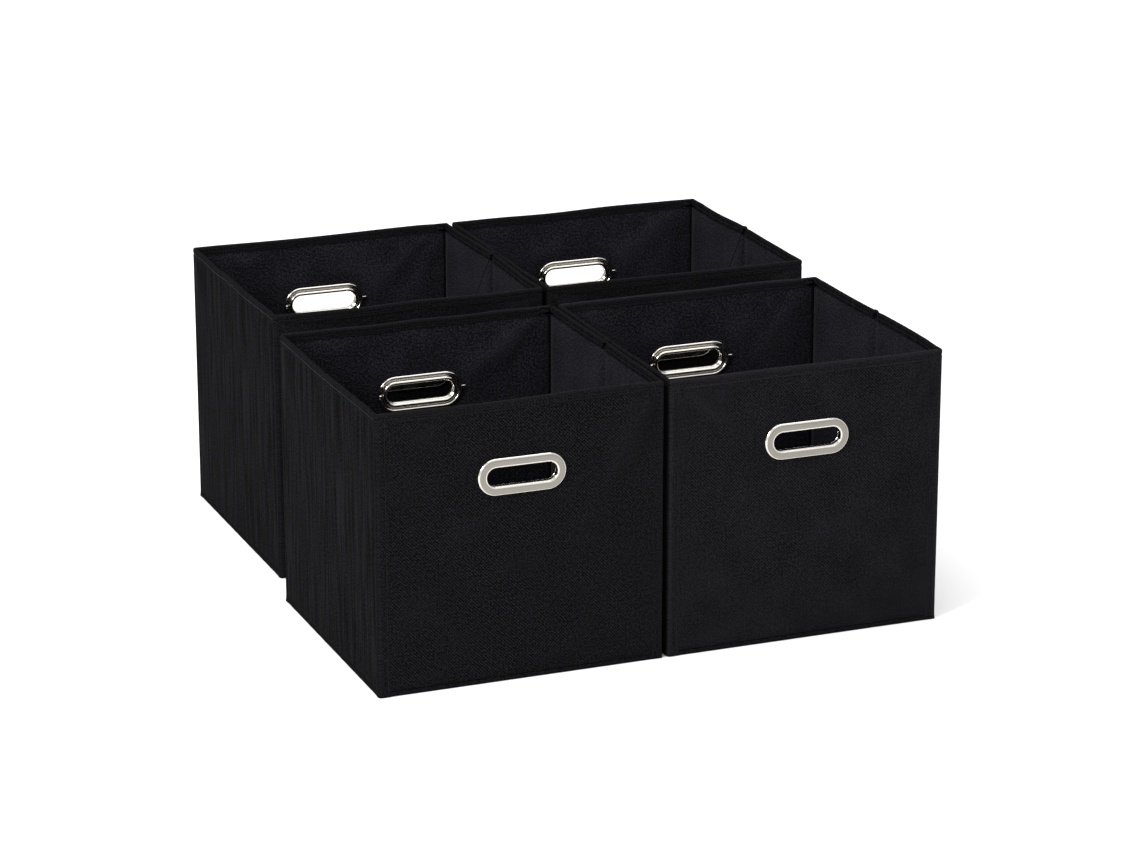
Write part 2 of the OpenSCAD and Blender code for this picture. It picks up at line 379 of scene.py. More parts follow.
# %% [markdown]
# ## How a sewn wall really lies
# No sewn wall is flat. The rim waves by a fraction of a millimetre, a side wall stands a little proud
# along its crease, and the cloth drags in soft lines from the upper corners, where the tape pulls it
# up. Cloth that is sewn down all round over a board can hardly drape, so its drag is written as a
# height over the wall: a few slow waves, and long ridges that fan out of the corners and fade.
# Every layer of a wall takes the same bow and the same rim, so they stay together.

# %% Bow, rim and drag lines
def step_up(x):
    x = np.clip(x, 0, 1)
    return x * x * (3 - 2 * x)


def clear_of_ring(s, t, room=16 * MM):
    """0 over the grip ring and 1 well away from it."""
    off = np.hypot(np.maximum(np.abs(s) - RING_STRAIGHT / 2, 0), t - GRIP_Z) - RING_R
    return step_up(off / room)


def slow_waves(s, t, draw, count, shortest, longest):
    """A sum of slow waves across the wall, about 1 high."""
    total = np.zeros_like(s)
    for _ in range(count):
        turn = draw.uniform(0, math.pi)
        length = draw.uniform(shortest, longest)
        phase = draw.uniform(0, 6.28)
        total += np.sin((s * math.cos(turn) + t * math.sin(turn)) * 2 * math.pi / length + phase)
    return total / math.sqrt(count)


def drag_lines(s, t, half, draw, count, reach):
    """Ridges that fan out of the two upper corners and fade as they go down."""
    total = np.zeros_like(s)
    for side in (-1, 1):
        for _ in range(count):
            slope = math.radians(draw.uniform(28, 72))
            start = draw.uniform(0, 26 * MM)
            x, y = half - start - side * s, RIM - 8 * MM - t
            run = x * math.cos(slope) + y * math.sin(slope)
            off = -x * math.sin(slope) + y * math.cos(slope)
            width = draw.uniform(3.0, 7.5) * MM * (1 + 11 * np.clip(run, 0, 1))
            length = reach * draw.uniform(0.55, 1.2)
            total += (draw.uniform(0.5, 1.0) * draw.choice((-1, 1, 1)) * np.exp(-(off / width) ** 2)
                      * step_up(run / (9 * MM)) * np.exp(-(np.maximum(run, 0) / length) ** 2))
    return total


def bow(wall, s, t, draw):
    """How far the whole wall stands out of its plane: 0 at its ends and at its foot."""
    half = WALLS[wall][1] / 2
    ends = step_up((half - 16 * MM - np.abs(s)) / (60 * MM)) * step_up((t - 8 * MM) / (120 * MM))
    if wall in ("left", "right"):
        tent = 1.1 * MM * np.clip(1 - np.sqrt(s ** 2 + (4 * MM) ** 2) / half, 0, 1)
        return (tent * step_up((half - 10 * MM - np.abs(s)) / (20 * MM))
                + 0.25 * MM * slow_waves(s, t, draw, 3, 0.16, 0.3) * ends)
    return np.zeros_like(s)


def rim_rise(wall, s, t, draw):
    """How far the rim rises and dips, fading out 30 mm below it."""
    half = WALLS[wall][1] / 2
    near = step_up((t - (RIM - 34 * MM)) / (26 * MM))
    wave = 0.7 * MM * slow_waves(s, np.zeros_like(s), draw, 3, 0.08, 0.26)
    wave *= step_up((half - 14 * MM - np.abs(s)) / (24 * MM))
    if wall in ("left", "right"):
        wave += (1.0 * MM * np.exp(-((s - 3 * MM) / (4 * MM)) ** 2)
                 - 0.5 * MM * np.exp(-((s + 5 * MM) / (5 * MM)) ** 2))
    return wave * near


def settle(bm, cube, wall):
    """Moves every point of a piece as its wall lies."""
    co = np.array([v.co for v in bm.verts])
    draw = random.Random(f"{cube} {wall} bow")
    out = bow(wall, co[:, 0], co[:, 1], draw)
    up = rim_rise(wall, co[:, 0], co[:, 1], draw)
    dip = (1.7 * MM * np.exp(-(co[:, 0] / (4.5 * MM)) ** 2)     # the lining's hollow at the crease
           * (co[:, 2] < -WALL / 2) * (wall in ("left", "right")))
    for v, o, u in zip(bm.verts, out + dip, up):
        v.co.z += o
        v.co.y += u

# %% [markdown]
# ## Cover and lining
# Each wall has two skins: the cover outside and the lining inside, 0.45 mm of felt each,
# with the board between them. A skin starts as a grid. On a side wall the columns crowd together
# towards the crease, where the cloth has to bend. The grip hole is cut out of the grid and its
# edge drawn on to the ring's outline, where the ring hides it. Solidify then gives the felt its
# thickness, so a skin is one closed sheet.

# %% Skins
def grid(length, foot, top, cell, crowd=1.0):
    """A flat grid in a wall's axes. crowd is how close its middle columns stand, against 1 for even."""
    bm = bmesh.new()
    bm.verts.layers.float.new("wear_and_ridge_light")
    bmesh.ops.create_grid(bm, x_segments=round(length / cell), y_segments=round((top - foot) / cell),
                          size=1)
    for v in bm.verts:
        v.co.x = length / 2 * (crowd * v.co.x + (1 - crowd) * v.co.x ** 3)
        v.co.y = foot + (v.co.y + 1) / 2 * (top - foot)
    return bm


def cut_grip(bm, radius):
    """Opens the grip hole and draws its edge on to the outline."""
    def core(p):
        return Vector((max(-RING_STRAIGHT / 2, min(RING_STRAIGHT / 2, p.x)), GRIP_Z, p.z))
    inside = [f for f in bm.faces
              if (f.calc_center_median() - core(f.calc_center_median())).length < radius]
    bmesh.ops.delete(bm, geom=inside, context="FACES")
    for v in bm.verts:
        if v.is_boundary and (v.co - core(v.co)).length < radius + 7 * MM:
            v.co = core(v.co) + (v.co - core(v.co)).normalized() * radius


def foot_lift(forward, t):
    """How far a side's lower edge lifts in its front half, with a nick at the crease."""
    lift = 1.9 * MM * np.exp(-((forward - 74 * MM) / (34 * MM)) ** 2)
    lift += 1.2 * MM * np.exp(-((forward - 2 * MM) / (2.5 * MM)) ** 2)
    return lift * step_up((WALL_FOOT + 22 * MM - t) / (22 * MM))


def skin(cube, wall, lining):
    """The cover or the lining of one wall."""
    length = WALLS[wall][1]
    side = wall in ("left", "right")
    gap = WALL + 0.3 * MM if not lining or side else WALL + 0.05 * MM
    foot, top = WALL_FOOT, RIM - 1.2 * MM
    bm = grid(length - 2 * gap, foot, top, SKIN_CELL, 0.16 if side else 1.0)
    if not side:
        cut_grip(bm, RING_R - 8 * MM)
    co = np.array([v.co for v in bm.verts])
    s, t, half = co[:, 0], co[:, 1], length / 2
    draw = random.Random(f"{cube} {wall} {'lining' if lining else 'cover'}")
    height = (0.3 if side else 0.8) * slow_waves(s, t, draw, 5, 0.045, 0.14) + (0.3 if side else 0.5)
    height += (0.9 if side else 2.2) * drag_lines(s, t, half, draw, 6, 95 * MM)
    if lining and not side:
        height += 0.8 * slow_waves(s, t, draw, 6, 0.06, 0.17) + 0.4
    room = (step_up((half - WALL - 2 * MM - np.abs(s)) / (14 * MM))
            * step_up((RIM - 9.5 * MM - t) / (12 * MM)))
    room *= step_up((t - foot) / (14 * MM))
    if side:
        room *= step_up((np.abs(s) - 2 * MM) / (16 * MM))
    else:
        room *= clear_of_ring(s, t)
    height = np.logaddexp(0, 5 * height) / 5 * room * MM
    if lining:
        most = 0.2 * MM + 0.05 * (half - np.abs(s))
        height = most * np.tanh(height / most) * (0.6 if side else 1)
    if side:
        groove = 0.35 * MM * np.exp(-(s / (1.6 * MM)) ** 2)
        height -= groove
    wear_and_ridge_light = bm.verts.layers.float["wear_and_ridge_light"]
    # Painted highlight: the felt is made paler where a drag line stands up, in place of the shading of the
    # folds; the pale line on a side's crease is wear.
    ridge_highlight = np.clip(height / MM - 0.7, -0.2, 2.2)
    for v, h, ridge_lit in zip(bm.verts, height, ridge_highlight):
        v.co.z = -WALL - h if lining else h
        crease = 0.35 * math.exp(-(v.co.x / (2.5 * MM)) ** 2) if side else 0.0
        v[wear_and_ridge_light] = max(0.0, crease + 0.22 * ridge_lit * (0.7 if side else 1.0))
    if not lining and side:
        for v, h in zip(bm.verts, foot_lift(s if wall == "left" else -s, t)):
            v.co.y += h
    settle(bm, cube, wall)
    if lining:
        bmesh.ops.reverse_faces(bm, faces=bm.faces)
    name = f"{cube}_{wall}_{'lining' if lining else 'skin'}"
    material = LINING if lining else SIDE_FELT_PAINTED_SHADE if side else FRONT_FELT[cube]
    piece = make_piece(bm, name, [material], wall_place(cube, wall),
                       FELT)
    return piece

# %% [markdown]
# ## Rim tape
# A tape is folded over the rim and sewn down on both sides. In section it is a narrow U that swells
# at the crest and at its two lower edges and is pinched where the needle went. The section is drawn
# along the wall with a step of half a stitch, and the pinch deepens at every needle hole.

# %% Rim tape section
TAPE_SECTION = [(-0.05, 289.6), (0.36, 289.7), (0.58, 290.3), (0.52, 291.4), (0.34, 292.6), (0.06, 293.5),
                (0.10, 294.0), (0.42, 294.9), (0.62, 296.2), (0.58, 297.7), (0.22, 299.1), (-0.55, 299.8),
                (-1.5, 300.0)]
TAPE_SECTION += [(-3.0 - d, t) for d, t in reversed(TAPE_SECTION[:-1])]
TAPE_WEAR = [0.3, 0.7, 0.9, 0.4, 0.1, 0, 0, 0.2, 0.4, 0.6, 0.9, 0.8, 0.7]
TAPE_WEAR += list(reversed(TAPE_WEAR[:-1]))
SEAM_T, STITCH, STITCH_D = 293.75 * MM, 3.4 * MM, 0.12 * MM


def stitch_row(bm, first, step, count, out, length=2.3 * MM, thick=0.30 * MM):
    """A seam: one short loop of thread, copied count times along step. out is the way it faces."""
    along = step.normalized()
    turn = Matrix((along.cross(out) * thick, out * thick, along * length / 2)).transposed().to_4x4()
    row = bmesh.new()
    bmesh.ops.create_uvsphere(row, u_segments=6, v_segments=5, radius=1,
                              matrix=Matrix.Translation(first) @ turn)
    bmesh.ops.spin(row, geom=list(row.verts) + list(row.edges) + list(row.faces), cent=(0, 0, 0),
                   axis=(0, 0, 1), dvec=step, angle=0, steps=count - 1, use_duplicate=True)
    for f in row.faces:
        f.material_index = 1
    thread = bpy.data.meshes.new("thread")
    row.to_mesh(thread)
    row.free()
    bm.from_mesh(thread)
    bpy.data.meshes.remove(thread)


def tape_pinch(bm):
    """Draws the tape in a little further at every needle hole."""
    for v in bm.verts:
        if abs(v.co.y - SEAM_T) < 0.5 * MM:
            dip = 0.16 * MM * math.cos(math.pi * v.co.x / STITCH) ** 2
            v.co.z += dip if v.co.z > -WALL / 2 else -dip


def rim_tape(cube, wall):
    half = WALLS[wall][1] / 2 - WALL - (12 * MM if wall in ("front", "back") else 9 * MM)
    bm = bmesh.new()
    side = wall in ("left", "right")
    start = profile(bm, [(-half, t * MM, d * MM) for d, t in TAPE_SECTION], TAPE_WEAR)
    steps = round(2 * half / (STITCH / 2))
    sweep(bm, start, (2 * half / steps, 0, 0), steps)
    if side:
        near = [e for e in bm.edges if abs(e.verts[0].co.x - e.verts[1].co.x) > 0.1 * MM
                and max(abs(v.co.x) for v in e.verts) < 4.5 * MM]
        bmesh.ops.subdivide_edges(bm, edges=near, cuts=2, use_grid_fill=True)
    turn_out(bm, lambda p: Vector((p.x, 292 * MM, -WALL / 2)))
    tape_pinch(bm)
    count = int(2 * half / STITCH)
    for out, d in ((1, STITCH_D), (-1, -WALL - STITCH_D)):
        stitch_row(bm, Vector((-half + STITCH / 2, SEAM_T, d)), Vector((STITCH, 0, 0)), count,
                   Vector((0, 0, out)))
    settle(bm, cube, wall)
    felt = SIDE_FELT_PAINTED_SHADE if side else FRONT_FELT[cube]
    return make_piece(bm, f"{cube}_{wall}_rim_tape", [felt, THREAD], wall_place(cube, wall),
                      TAPE)

# %% [markdown]
# ## Corners
# At each upright corner the side's felt wraps round on to the front, is turned under and sewn down
# with an upright seam. It is drawn as one strip: along the front, a quarter turn about the fold line,
# and along the side. Because the turn has the fold's own axis for its centre, the strip slides round
# it like a sleeve when the wall folds. The rim tape goes round the same corner the same way.

# %% Corners
def corner_place(cube, mirror_x, mirror_y):
    """From the front left corner's axes, with the fold line at the origin, to one of the four corners."""
    pivot = centre(cube) + Vector((-mirror_x * (WIDTH / 2 - WALL), -mirror_y * (DEPTH / 2 - WALL), 0))
    return Matrix.Translation(pivot) @ Matrix.Diagonal((mirror_x, mirror_y, 1, 1))


ARC_STEPS = 10


def round_corner(bm, start, run_in, run_out, step):
    """Draws a section along the front to the fold line, a quarter turn about it, and along the side."""
    n = round(run_in / step)
    last = sweep(bm, start, (-run_in / n, 0, 0), n)
    last = bmesh.ops.spin(bm, geom=last, cent=(0, 0, 0), axis=(0, 0, 1), angle=-math.pi / 2,
                          steps=ARC_STEPS)["geom_last"]
    n = round(run_out / step)
    return sweep(bm, last, (0, run_out / n, 0), n)


def face_front(bm):
    """Gives the half of a corner that looks forward the felt of the front; the half that looks sideways
    keeps the side felt, whose darker tone is painted shade.
    """
    for f in bm.faces:
        c = f.calc_center_median()
        if c.y < c.x:
            f.material_index = 2


def corner_tape(cube, corner, mirror_x, mirror_y, run_in=12 * MM, run_out=9 * MM):
    bm = bmesh.new()
    start = profile(bm, [(run_in, -WALL - d * MM, t * MM) for d, t in TAPE_SECTION], TAPE_WEAR)
    round_corner(bm, start, run_in, run_out, STITCH / 2)
    bmesh.ops.remove_doubles(bm, verts=bm.verts, dist=1e-6)
    middle = -WALL / 2
    turn_out(bm, lambda p: Vector((max(p.x, middle), max(p.y, middle), 292 * MM))
             if max(p.x, p.y) > 0 else Vector((middle, middle, 292 * MM)))
    face_front(bm)
    for y, out in ((-WALL - STITCH_D, -1), (STITCH_D, 1)):
        stitch_row(bm, Vector((run_in - STITCH / 2, y, SEAM_T)), Vector((-STITCH, 0, 0)), 3,
                   Vector((0, out, 0)))
        stitch_row(bm, Vector((y, run_out - STITCH / 2, SEAM_T)), Vector((0, -STITCH, 0)), 2,
                   Vector((out, 0, 0)))
    return make_piece(bm, f"{cube}_{corner}_rim_tape", [SIDE_FELT_PAINTED_SHADE, THREAD, FRONT_FELT[cube]],
                      corner_place(cube, mirror_x, mirror_y), TAPE)


# Strip over the corner: distance from the fold's tangent along the front, and how far it stands out
WRAP_A = [0, 1.5, 3.5, 5.2, 6.4, 7.4, 8.4, 9.0, 9.3]
WRAP_D = [0.42, 0.52, 0.60, 0.46, 0.16, 0.55, 0.76, 0.52, -0.05]


def corner_wrap(cube, corner, mirror_x, mirror_y, run_in=9.3 * MM, run_out=7 * MM):
    bm = bmesh.new()
    foot, top = 0.6 * MM, 289.9 * MM
    count = round((top - foot) / (3 * MM))
    base = WALL + 0.42 * MM
    points = [(run_in, -base, foot + (top - foot) * k / count) for k in range(count + 1)]
    round_corner(bm, profile(bm, points), run_in, run_out, 0.8 * MM)
    bmesh.ops.remove_doubles(bm, verts=bm.verts, dist=1e-6)
    turn_out(bm, lambda p: Vector((max(p.x, 0), max(p.y, 0), p.z)))
    draw = random.Random(f"{cube} {corner} wrap")
    phase = draw.uniform(0, 6)
    wear_and_ridge_light = bm.verts.layers.float["wear_and_ridge_light"]
    for v in bm.verts:
        low = math.exp(-(v.co.z / (3.5 * MM)) ** 2)
        sway = 0.2 * MM * math.sin(v.co.z * 46 + phase)
        if v.co.x > 1e-6:
            a = v.co.x / MM
            d = float(np.interp(a, WRAP_A, WRAP_D)) * (0.5 if corner.endswith("front_right") else 1)
            v.co.y = -WALL - d * MM - 0.1 * MM * math.cos(2 * math.pi * v.co.z / STITCH) * (5.4 < a < 7.4)
            v.co.x += sway * min(1, a / 5)
            v[wear_and_ridge_light] = 0.5 if a > 7.9 or a < 1.2 else 0.1
        elif v.co.y > 1e-6:
            b = v.co.y / (7 * MM)
            v.co.x = -WALL - 0.42 * MM * (1 - b) - 0.02 * MM
            v[wear_and_ridge_light] = 0.5 * (1 - b)
        else:
            v[wear_and_ridge_light] = 0.6
        v.co.x += -0.5 * MM * low * (v.co.x < 0)
        v.co.y += -0.5 * MM * low * (v.co.y < 0)
    z = foot + 7 * MM
    face_front(bm)
    if not corner.endswith("front_right"):
        stitch_row(bm, Vector((6.4 * MM, -WALL - 0.22 * MM, z)), Vector((0, 0, STITCH)),
                   int((top - z) / STITCH), Vector((0, -1, 0)))
    return make_piece(bm, f"{cube}_{corner}_seam", [SIDE_FELT_PAINTED_SHADE, THREAD, FRONT_FELT[cube]],
                      corner_place(cube, mirror_x, mirror_y), 0.3 * MM)

# %% [markdown]
# ## Grip rings
# A grip is two pressed rings that clamp the wall: the outer one has a flat satin face between bright
# bevels and a collar that goes through the board, the inner one a rolled bead, a groove and a lip
# that closes over the collar. Each is one closed section that is spun half a turn about one end,
# drawn along the straight, spun about the other end and drawn back.

# %% Grip rings
def loop(bm, points):
    verts = [bm.verts.new(p) for p in points]
    return verts + [bm.edges.new((verts[k - 1], verts[k])) for k in range(len(verts))]


def oval_sweep(bm, section):
    """Sweeps a closed section, given as (radius, height), round the grip's oval outline."""
    end = RING_STRAIGHT / 2
    shape = loop(bm, [(end, -h * MM, r * MM) for r, h in section])
    for sign in (1, -1):
        shape = bmesh.ops.spin(bm, geom=shape, cent=(sign * end, 0, 0), axis=(0, 1, 0), angle=math.pi,
                               steps=26)["geom_last"]
        shape = sweep(bm, shape, (-sign * RING_STRAIGHT / 8, 0, 0), 8)
    bmesh.ops.remove_doubles(bm, verts=bm.verts, dist=2e-6)
    bmesh.ops.recalc_face_normals(bm, faces=bm.faces)


# Sections as (radius, height) in millimetres
OUTER_SECTION = [(10.0, -4.3), (10.0, 0.9), (10.12, 1.6), (10.5, 2.15), (11.1, 2.45), (11.7, 2.52),
                 (13.2, 2.58), (15.0, 2.6), (16.8, 2.56), (18.1, 2.42), (18.5, 2.28), (19.1, 1.8),
                 (19.6, 1.15), (19.9, 0.55), (20.0, 0.1), (19.6, 0.05), (11.3, 0.05), (11.2, -4.3)]
INNER_SECTION = [(20.0, 0.05), (20.1, 1.0), (19.95, 1.8), (19.5, 2.5), (18.8, 2.95), (18.0, 3.0),
                 (17.3, 2.7), (16.7, 2.05), (16.4, 1.2), (16.2, 0.5), (15.7, 0.3), (15.2, 0.3),
                 (14.85, 0.8), (14.7, 1.6), (14.4, 2.6), (13.8, 3.4), (12.9, 3.85), (12.0, 3.85),
                 (11.2, 3.5), (10.5, 2.8), (10.1, 2.0), (10.0, 1.6), (11.25, 1.6), (11.25, 0.05)]


def satin_face(f):
    """Whether a face of the outer ring belongs to its flat front."""
    c = f.calc_center_median()
    off = math.hypot(max(abs(c.x) - RING_STRAIGHT / 2, 0), c.z)
    return c.y < -2.4 * MM and 11.5 * MM < off < 18.2 * MM


def ring_outer(cube, wall):
    bm = bmesh.new()
    oval_sweep(bm, OUTER_SECTION)
    for f in bm.faces:
        f.material_index = 1 if satin_face(f) else 0
    return ring_piece(bm, cube, wall, "outer", False)


def ring_piece(bm, cube, wall, kind, flipped):
    """Stands a ring, worked with its face towards -Y, on the wall's face or its lining."""
    upright = Matrix.Rotation(math.pi if flipped else 0, 4, "Z")
    up = Matrix.Translation((0, 0, GRIP_Z))
    y = -DEPTH / 2 if wall == "front" else DEPTH / 2
    turn = Matrix.Rotation(0 if wall == "front" else math.pi, 4, "Z")
    face = Matrix.Translation(centre(cube) + Vector((0, y, 0))) @ turn
    if flipped:
        face = face @ Matrix.Translation((0, WALL, 0))
    piece = make_piece(bm, f"{cube}_{wall}_grip_{kind}", [BRIGHT, SATIN_PAINTED_SHADE], face @ up @ upright)
    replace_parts(piece, f"{cube}_{wall}_ring_{kind}")
    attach(piece, f"{cube}_{wall}_wall")
    return piece


def ring_inner(cube, wall):
    bm = bmesh.new()
    oval_sweep(bm, INNER_SECTION)
    left = -RING_END
    slot = 2.4 * MM
    for z in (slot, -slot):
        near = [f for f in bm.faces if f.calc_center_median().x < left + 6 * MM]
        geom = near + list({e for f in near for e in f.edges}) + list({v for f in near for v in f.verts})
        bmesh.ops.bisect_plane(bm, geom=geom, plane_co=(0, 0, z), plane_no=(0, 0, 1), dist=1e-6)
    gone = [f for f in bm.faces if abs(f.calc_center_median().z) < slot
            and f.calc_center_median().x < left + 2.7 * MM and f.calc_center_median().y < -1.2 * MM]
    bmesh.ops.delete(bm, geom=gone, context="FACES")
    bmesh.ops.holes_fill(bm, edges=[e for e in bm.edges if e.is_boundary], sides=60)
    bmesh.ops.triangulate(bm, faces=[f for f in bm.faces if len(f.verts) > 4])
    knob = (Matrix.Translation((left + 2.5 * MM, -1.9 * MM, -0.5 * MM))
            @ Matrix.Diagonal((1.9 * MM, 1.7 * MM, 1.5 * MM, 1)))
    bmesh.ops.create_uvsphere(bm, u_segments=20, v_segments=12, radius=1, matrix=knob)
    tab_place = (Matrix.Translation((RING_END + 1.6 * MM, -1.3 * MM, 0))
                 @ Matrix.Diagonal((7 * MM, 2.2 * MM, 4.4 * MM, 1)))
    tab = bmesh.ops.create_cube(bm, size=1, matrix=tab_place)
    edges = list({e for v in tab["verts"] for e in v.link_edges})
    ends = [e for e in edges if abs(e.verts[0].co.y - e.verts[1].co.y) > MM
            and min(v.co.x for v in e.verts) > RING_END]
    bmesh.ops.bevel(bm, geom=ends, offset=2.1 * MM, affect="EDGES", segments=8, profile=0.5, material=-1)
    bm.normal_update()
    top = [f for f in bm.faces if f.normal.y < -0.95 and f.calc_center_median().x > RING_END]
    bmesh.ops.bevel(bm, geom=list({e for f in top for e in f.edges}), offset=0.6 * MM, affect="EDGES",
                    segments=3, profile=0.5, material=-1)
    bmesh.ops.recalc_face_normals(bm, faces=bm.faces)
    return ring_piece(bm, cube, wall, "inner", True)

# %% [markdown]
# ## Boards inside the side walls
# Each half of a side wall is stiffened by its own board, which stops short of every seam. The front,
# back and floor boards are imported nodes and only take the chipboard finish. The side ones are cut
# here, with their cut edges eased.

# %% Side boards
def side_board(cube, side, half):
    low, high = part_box(f"{cube}_{side}_{half}_panel")
    edge = 8 * MM
    place = wall_place(cube, side)
    middle = place.inverted() @ ((low + high) / 2)
    size = Vector((high.y - low.y - 2 * edge, RIM - 14 * MM - low.z - edge, WALL - 1.1 * MM))
    middle = Vector((middle.x, low.z + edge + size.y / 2, -WALL / 2))
    bm = bmesh.new()
    bmesh.ops.create_grid(bm, x_segments=24, y_segments=40, size=0.5)
    bmesh.ops.transform(bm, matrix=Matrix.Translation(middle) @ Matrix.Diagonal((size.x, size.y, 1, 1)),
                        verts=bm.verts)
    settle(bm, cube, side)
    bmesh.ops.solidify(bm, geom=list(bm.faces), thickness=size.z)
    bmesh.ops.translate(bm, vec=(0, 0, size.z / 2), verts=bm.verts)
    bmesh.ops.recalc_face_normals(bm, faces=bm.faces)
    edges = [e for e in bm.edges if len(e.link_faces) == 2 and e.calc_face_angle() > 1]
    bmesh.ops.bevel(bm, geom=edges, offset=0.25 * MM, affect="EDGES", segments=2, profile=0.5,
                    material=-1)
    piece = make_piece(bm, f"{cube}_{side}_{half}_board", [CHIPBOARD], place)
    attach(piece, f"{cube}_{side}_{half}")
    return piece

# %% [markdown]
# ## Bottom and lift-out floor
# The bottom is one piece of felt that is sewn to the foot of the walls, with the seam turned out into
# a soft welt. It rides on the front wall. The lift-out floor is a board in
# a felt sleeve, sewn shut all round a few millimetres inside its edge.

# %% Bottom
def outset(v, size, out, z, radius=3 * MM):
    """Moves a point of the bottom's outline out to a rounded outline that much larger."""
    flat = Vector((max(radius - size.x / 2, min(size.x / 2 - radius, v.co.x)),
                   max(radius - size.y / 2, min(size.y / 2 - radius, v.co.y)), 0))
    away = Vector((v.co.x, v.co.y, 0)) - flat
    v.co = flat + away.normalized() * (radius + out)
    v.co.z = z


def bottom(cube):
    low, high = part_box(f"{cube}_bottom_tray")
    size = high - low
    bm = bmesh.new()
    wear_and_ridge_light = bm.verts.layers.float.new("wear_and_ridge_light")
    bmesh.ops.create_grid(bm, x_segments=60, y_segments=60, size=0.5)
    bmesh.ops.scale(bm, vec=(size.x / bm_width(bm), size.y / bm_width(bm), 1), verts=bm.verts)
    corners = [v for v in bm.verts if len(v.link_edges) == 2]
    bmesh.ops.bevel(bm, geom=corners, offset=3 * MM, affect="VERTICES", segments=5, profile=0.5, material=-1)
    draw = random.Random(f"{cube} bottom")
    co = np.array([v.co for v in bm.verts])
    room = (step_up((size.x / 2 - np.abs(co[:, 0])) / (12 * MM))
            * step_up((size.y / 2 - np.abs(co[:, 1])) / (12 * MM)))
    rise = (0.25 * slow_waves(co[:, 0], co[:, 1], draw, 6, 0.05, 0.2) + 0.3) * room
    for v, h in zip(bm.verts, rise):
        v.co.z = 0.35 * MM + h * MM
    rim = [e for e in bm.edges if e.is_boundary]
    for out, z, lighten_by in WELT:
        made = bmesh.ops.extrude_edge_only(bm, edges=rim)["geom"]
        rim = [e for e in made if isinstance(e, bmesh.types.BMEdge)]
        for v in {v for e in rim for v in e.verts}:
            outset(v, size, out * MM + 0.08 * MM * math.sin(v.co.x * 260 + v.co.y * 230), z * MM)
            v[wear_and_ridge_light] = lighten_by
    turn_out(bm, lambda p: Vector((p.x, p.y, 4 * MM)) if p.z < 0.9 * MM
             else Vector((p.x * 0.985, p.y * 0.985, 2.6 * MM)))
    piece = make_piece(bm, f"{cube}_bottom", [SIDE_FELT_PAINTED_SHADE], Matrix.Translation(centre(cube)),
                       0.5 * MM)
    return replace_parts(piece, f"{cube}_bottom_tray")


def bm_width(bm):
    return max(v.co.x for v in bm.verts) - min(v.co.x for v in bm.verts)


# The welt's section: how far out, how high (both in millimetres) and how rubbed
WELT = [(0.35, 0.6, 0.5), (0.6, 1.5, 0.9), (0.72, 2.8, 0.9), (0.5, 4.0, 0.5), (0.0, 4.8, 0),
        (-0.9, 5.15, 0), (-2.4, 5.15, 0)]

# %% Lift-out floor
def lift_floor(cube):
    low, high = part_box(f"{cube}_floor_cover")
    size, middle = high - low, (low + high) / 2
    bm = bmesh.new()
    wear_and_ridge_light = bm.verts.layers.float.new("wear_and_ridge_light")
    bmesh.ops.create_grid(bm, x_segments=62, y_segments=62, size=1)
    for v in bm.verts:
        for k in (0, 1):
            u = v.co[k]
            v.co[k] = (0.25 * u + 0.75 * math.sin(math.pi / 2 * u)) * size[k] / 2
    top = list(bm.faces)
    rim = [e for e in bm.edges if e.is_boundary]
    copy = bmesh.ops.duplicate(bm, geom=list(bm.verts) + list(bm.edges) + top)["geom"]
    under = [f for f in copy if isinstance(f, bmesh.types.BMFace)]
    draw = random.Random(f"{cube} floor")
    for faces, sign in ((top, 1), (under, -1)):
        verts = list({v for f in faces for v in f.verts})
        co = np.array([v.co for v in verts])
        inset = np.minimum(size.x / 2 - np.abs(co[:, 0]), size.y / 2 - np.abs(co[:, 1]))
        swell = np.interp(inset / MM, [0, 1.2, 3.2, 4.4, 5.6, 8, 12],
                          [0.5, 0.95, 0.85, 0.35, 0.9, 1.45, size.z / 2 / MM])
        puffs = (0.16 * slow_waves(co[:, 0], co[:, 1], draw, 6, 0.05, 0.2)
                 * step_up((inset - 10 * MM) / (20 * MM)) - 0.16 * step_up((inset - 8 * MM) / (8 * MM)))
        for v, h in zip(verts, swell + (puffs if sign > 0 else 0)):
            v.co.z = sign * h * MM
            v[wear_and_ridge_light] = 0.0
    under_rim = [e for e in bm.edges if e.is_boundary and e not in set(rim)]
    bmesh.ops.bridge_loops(bm, edges=rim + under_rim)
    bmesh.ops.recalc_face_normals(bm, faces=bm.faces)
    for long, short, along, across in ((size.x, size.y, Vector((1, 0, 0)), Vector((0, 1, 0))),
                                       (size.y, size.x, Vector((0, 1, 0)), Vector((1, 0, 0)))):
        for side, up in ((-1, -1), (-1, 1), (1, -1), (1, 1)):
            at = (along * (6 * MM - long / 2) + across * side * (short / 2 - 4.4 * MM)
                  + Vector((0, 0, up * 0.5 * MM)))
            stitch_row(bm, at, along * STITCH, int((long - 12 * MM) / STITCH), Vector((0, 0, up)))
    piece = make_piece(bm, f"{cube}_floor_skin", [LINING, THREAD], Matrix.Translation(middle))
    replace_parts(piece, f"{cube}_floor_cover")
    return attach(piece, f"{cube}_lift_floor")

# %% [markdown]
# ## Put the four cubes together
# Each piece takes the body that carries it. A skin or tape that crosses a side wall's crease bends
# between the two halves, and a corner strip bends between the two walls that it joins. The right
# rear corner is where the folding chain ends, so its strips are made as two sleeves, one on each
# wall, that slide over each other as the corner turns.

# %% Assemble
def bend_over_crease(piece, cube, side):
    low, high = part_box(f"{cube}_{side}_fore_panel")
    y = high.y + 0.3 * MM
    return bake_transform(piece, f"{cube}_{side}_fore", f"{cube}_{side}_aft",
                    start=(low.x, y - CREASE, 0), end=(low.x, y + CREASE, 0))


